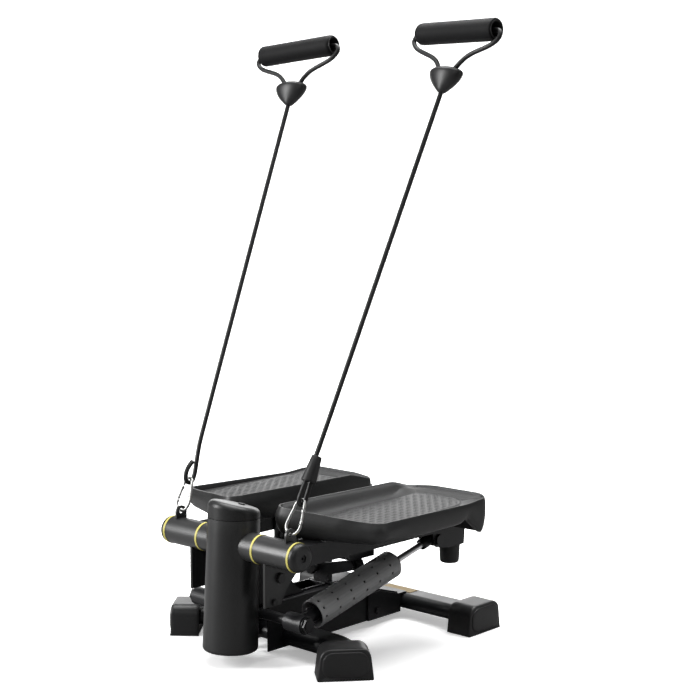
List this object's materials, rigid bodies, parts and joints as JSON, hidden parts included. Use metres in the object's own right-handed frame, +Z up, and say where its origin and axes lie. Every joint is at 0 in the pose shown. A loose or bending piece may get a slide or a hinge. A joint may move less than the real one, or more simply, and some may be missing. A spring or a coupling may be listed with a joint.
{
  "type": "mini stepper",
  "caption": "Mini stepper: column on a low frame, linked foot plates on hydraulic dampers and elastic hand bands with grips.",
  "frame": {"origin": "on the floor, under the middle of the whole object", "axes": "+X across the machine towards the right foot plate, -Y towards the column, +Z up"},
  "size_m": [0.5012, 0.4369, 0.9222],
  "materials": {
    "column": "satin",
    "frame_steel": "satin",
    "steel": "satin",
    "chrome": "polished",
    "zinc": "bright",
    "nylon": "satin",
    "foot_plastic": "matte",
    "pedal_plastic": "textured matte",
    "guard": "satin",
    "rubber": "matte",
    "foam": "foam",
    "cord": "satin",
    "lens": "clear",
    "label": "satin",
    "button": "satin",
    "cap_plastic": "satin",
    "bolts": "black oxide"
  },
  "bodies": {
    "base": {"column_shell": "column", "column_cap": "cap_plastic", "display_lens": "lens", "pivot_stub": "column", "pivot_axle": "steel", "end_caps": "cap_plastic", "front_bow_tube": "frame_steel", "rear_tube": "frame_steel", "front_feet": "foot_plastic", "rear_feet": "foot_plastic", "spine_channel": "frame_steel", "rear_saddle": "frame_steel", "post_gusset": "frame_steel", "frame_screws": "bolts", "rear_label": "label", "lower_axle": "frame_steel", "axle_nuts": "bolts", "rocker_post": "frame_steel", "rocker_bolt": "bolts"},
    "display_button": {"display_button": "button"},
    "rocker": {"rocker_beam": "frame_steel"},
    "pedal_arm_right": {"sleeve_right": "column", "bushes_right": "nylon", "arm_right": "frame_steel", "pedal_right": "pedal_plastic", "damper_bracket_right": "frame_steel", "pedal_bolts_right": "bolts", "bumper_right": "rubber", "roller_shoe_right": "frame_steel"},
    "damper_right": {"damper_barrel_right": "frame_steel", "damper_guard_right": "guard", "damper_collar_right": "rubber"},
    "piston_right": {"damper_rod_right": "chrome"},
    "roller_right": {"rocker_roller_right": "foot_plastic"},
    "band_right": {"carabiner_right": "zinc", "band_right": "cord", "yoke_right": "foot_plastic", "handle_cord_right": "cord", "band_cover": "rubber"},
    "gate_right": {"carabiner_gate_right": "zinc"},
    "grip_right": {"grip_right": "foam"},
    "pedal_arm_left": {"sleeve_left": "column", "bushes_left": "nylon", "arm_left": "frame_steel", "pedal_left": "pedal_plastic", "damper_bracket_left": "frame_steel", "pedal_bolts_left": "bolts", "bumper_left": "rubber", "roller_shoe_left": "frame_steel"},
    "damper_left": {"damper_barrel_left": "frame_steel", "damper_guard_left": "guard", "damper_collar_left": "rubber"},
    "piston_left": {"damper_rod_left": "chrome"},
    "roller_left": {"rocker_roller_left": "foot_plastic"},
    "band_left": {"carabiner_left": "zinc", "band_left": "cord", "yoke_left": "foot_plastic", "handle_cord_left": "cord"},
    "gate_left": {"carabiner_gate_left": "zinc"},
    "grip_left": {"grip_left": "foam"}
  },
  "joints": [
    {"name": "pedal_right", "type": "hinge", "parent": "base", "child": "pedal_arm_right", "pos_m": [0.094, -0.1704, 0.171], "axis": [1, 0, 0], "range_deg": [-8.5, 8.5]},
    {"name": "pedal_left", "type": "hinge", "parent": "base", "child": "pedal_arm_left", "pos_m": [-0.094, -0.1704, 0.171], "axis": [1, 0, 0], "range_deg": [-8.5, 8.5]},
    {"name": "damper_swing_right", "type": "hinge", "parent": "base", "child": "damper_right", "pos_m": [0.1, -0.1394, 0.067], "axis": [1, 0, 0], "range_deg": [-8.66, 8.66]},
    {"name": "piston_slide_right", "type": "slide", "parent": "damper_right", "child": "piston_right", "axis": [0, 0.9711, 0.2386], "range_m": [-0.01612, 0.01612]},
    {"name": "damper_swing_left", "type": "hinge", "parent": "base", "child": "damper_left", "pos_m": [-0.1, -0.1394, 0.067], "axis": [1, 0, 0], "range_deg": [-8.66, 8.66]},
    {"name": "piston_slide_left", "type": "slide", "parent": "damper_left", "child": "piston_left", "axis": [0, 0.9711, 0.2386], "range_m": [-0.01612, 0.01612]},
    {"name": "rocker_tilt", "type": "hinge", "parent": "base", "child": "rocker", "pos_m": [0, 0.0136, 0.104], "axis": [0, 1, 0], "range_deg": [-22.39, 22.39]},
    {"name": "roller_spin_right", "type": "hinge", "parent": "rocker", "child": "roller_right", "pos_m": [0.07, 0.0136, 0.118], "axis": [0, 1, 0], "continuous": true},
    {"name": "roller_spin_left", "type": "hinge", "parent": "rocker", "child": "roller_left", "pos_m": [-0.07, 0.0136, 0.118], "axis": [0, 1, 0], "continuous": true},
    {"name": "band_swing_right", "type": "hinge", "parent": "pedal_arm_right", "child": "band_right", "pos_m": [0.115, -0.1694, 0.201], "axis": [1, 0, 0], "range_deg": [-34, 80]},
    {"name": "gate_swing_right", "type": "hinge", "parent": "band_right", "child": "gate_right", "pos_m": [0.12899, -0.16204, 0.21781], "axis": [0, -0.916, 0.4012], "range_deg": [0, 20], "stiffness_Nm_per_rad": 0.02, "springref_deg": -28.65},
    {"name": "grip_spin_right", "type": "hinge", "parent": "band_right", "child": "grip_right", "pos_m": [0.164, 0.1286, 0.902], "axis": [0.996, -0.0745, -0.0497], "continuous": true},
    {"name": "band_swing_left", "type": "hinge", "parent": "pedal_arm_left", "child": "band_left", "pos_m": [-0.115, -0.1694, 0.201], "axis": [1, 0, 0], "range_deg": [-34, 80]},
    {"name": "gate_swing_left", "type": "hinge", "parent": "band_left", "child": "gate_left", "pos_m": [-0.12899, -0.16204, 0.21781], "axis": [0, 0.916, -0.4012], "range_deg": [0, 20], "stiffness_Nm_per_rad": 0.02, "springref_deg": -28.65},
    {"name": "grip_spin_left", "type": "hinge", "parent": "band_left", "child": "grip_left", "pos_m": [-0.164, 0.1286, 0.902], "axis": [-0.996, -0.0745, -0.0497], "continuous": true},
    {"name": "button_press", "type": "slide", "parent": "base", "child": "display_button", "axis": [-0.0699, -0.2498, -0.9658], "range_m": [0, 0.0012], "stiffness_N_per_m": 400, "springref_m": -0.0006}
  ],
  "couplings": [
    {"joint": "pedal_left", "follows": "pedal_right", "ratio": -1},
    {"joint": "damper_swing_right", "follows": "pedal_right", "ratio": 1.018},
    {"joint": "piston_slide_right", "follows": "pedal_right", "m_per_rad": 0.1086},
    {"joint": "damper_swing_left", "follows": "pedal_right", "ratio": -1.018},
    {"joint": "piston_slide_left", "follows": "pedal_right", "m_per_rad": -0.1086},
    {"joint": "rocker_tilt", "follows": "pedal_right", "ratio": -2.6286}
  ]
}
